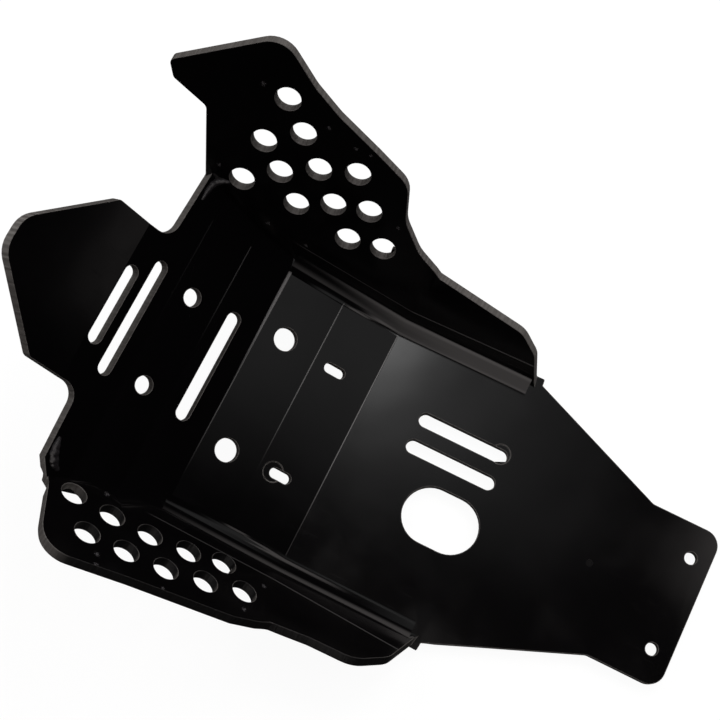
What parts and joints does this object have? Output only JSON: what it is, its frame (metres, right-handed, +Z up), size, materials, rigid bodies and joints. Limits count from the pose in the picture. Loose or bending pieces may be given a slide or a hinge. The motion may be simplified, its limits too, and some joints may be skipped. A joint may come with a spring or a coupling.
{
  "type": "motorcycle skid plate",
  "caption": "Black plastic motorcycle skid plate, folded from one flat sheet, with two turned-up side wings, drain slots and bolt holes.",
  "frame": {"origin": "midway between the two rear bolt holes, on the underside of the flat rear floor", "axes": "+X forward along the motorcycle, +Y to its left, +Z up; the rear floor lies flat on z = 0"},
  "size_m": [0.5564, 0.3892, 0.2023],
  "materials": {
    "black_plastic": "smooth, semi-gloss sheet with milled edges"
  },
  "bodies": {
    "root": {"skid_plate": "black_plastic"}
  },
  "joints": []
}
